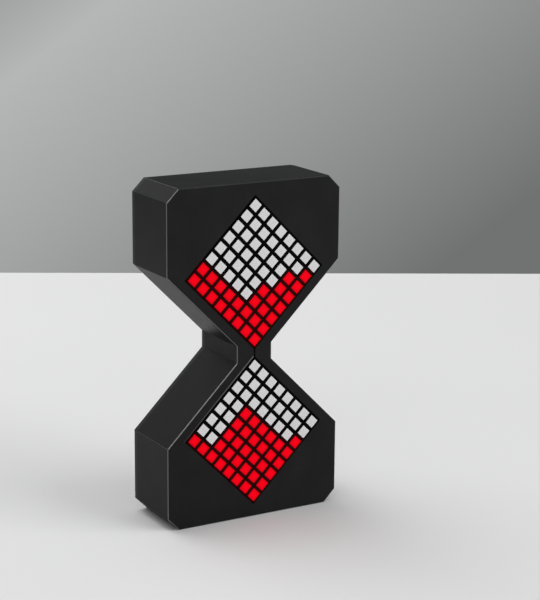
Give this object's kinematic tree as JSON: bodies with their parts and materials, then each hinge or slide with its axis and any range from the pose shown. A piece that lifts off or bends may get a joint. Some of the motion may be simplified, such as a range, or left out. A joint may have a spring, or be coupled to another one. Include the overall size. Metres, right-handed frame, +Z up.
{
  "type": "electronic hourglass timer",
  "caption": "Black hourglass-shaped desk timer with two square LED pixel displays set on their corners; turning it over starts falling-sand light. Set button, slide switch, charging socket.",
  "frame": {"origin": "middle of the flat base on the surface that the timer stands on, halfway through its depth", "axes": "+X to the right seen from the front, -Y out of the display faces, +Z up"},
  "size_m": [0.057, 0.0228, 0.101],
  "materials": {
    "shell_plastic": "satin",
    "cover_plastic": "satin",
    "display_plastic": "matte",
    "pixel_lit": "satin",
    "pixel_unlit": "satin",
    "display_resin": "satin",
    "tinned_metal": "satin",
    "board_laminate": "satin",
    "screw_steel": "satin",
    "chip_resin": "matte",
    "capacitor_ceramic": "matte",
    "can_steel": "satin",
    "ball_steel": "polished",
    "battery_foil": "satin",
    "tape_foam": "matte",
    "lead_sleeve": "satin",
    "plug_nylon": "satin",
    "socket_steel": "satin",
    "tongue_plastic": "matte",
    "knob_plastic": "satin",
    "button_plastic": "satin"
  },
  "bodies": {
    "casing": {"front_shell": "shell_plastic", "rear_cover": "cover_plastic", "cover_screws": "screw_steel", "upper_matrix_case": "display_plastic", "upper_lit_pixels": "pixel_lit", "upper_unlit_pixels": "pixel_unlit", "upper_matrix_base": "display_resin", "upper_matrix_pins": "tinned_metal", "lower_matrix_case": "display_plastic", "lower_lit_pixels": "pixel_lit", "lower_unlit_pixels": "pixel_unlit", "lower_matrix_base": "display_resin", "lower_matrix_pins": "tinned_metal", "main_board": "board_laminate", "board_screws": "screw_steel", "upper_driver_chip": "chip_resin", "lower_driver_chip": "chip_resin", "microcontroller": "chip_resin", "charger_chip": "chip_resin", "chip_capacitors": "capacitor_ceramic", "tilt_sensor_can": "can_steel", "tilt_sensor_plug": "chip_resin", "tilt_sensor_leads": "tinned_metal", "buzzer": "chip_resin", "battery": "battery_foil", "battery_tape": "tape_foam", "battery_leads": "lead_sleeve", "battery_plug": "plug_nylon", "battery_socket": "plug_nylon", "usb_shell": "socket_steel", "usb_tongue": "tongue_plastic", "switch_case": "can_steel", "tact_case": "chip_resin", "tact_dome": "can_steel"},
    "power_knob": {"switch_knob": "knob_plastic"},
    "set_button": {"button_cap": "button_plastic", "tact_plunger": "button_plastic"},
    "tilt_ball": {"tilt_ball": "ball_steel"}
  },
  "joints": [
    {"name": "power_switch_slide", "type": "slide", "parent": "casing", "child": "power_knob", "axis": [0, 0, 1], "range_m": [0, 0.002]},
    {"name": "set_button_press", "type": "slide", "parent": "casing", "child": "set_button", "axis": [0, -1, 0], "range_m": [0, 0.0004], "stiffness_N_per_m": 2000, "deforming": ["tact_dome"]},
    {"name": "tilt_ball_roll", "type": "slide", "parent": "casing", "child": "tilt_ball", "axis": [0, 0, 1], "range_m": [0, 0.00455]}
  ]
}
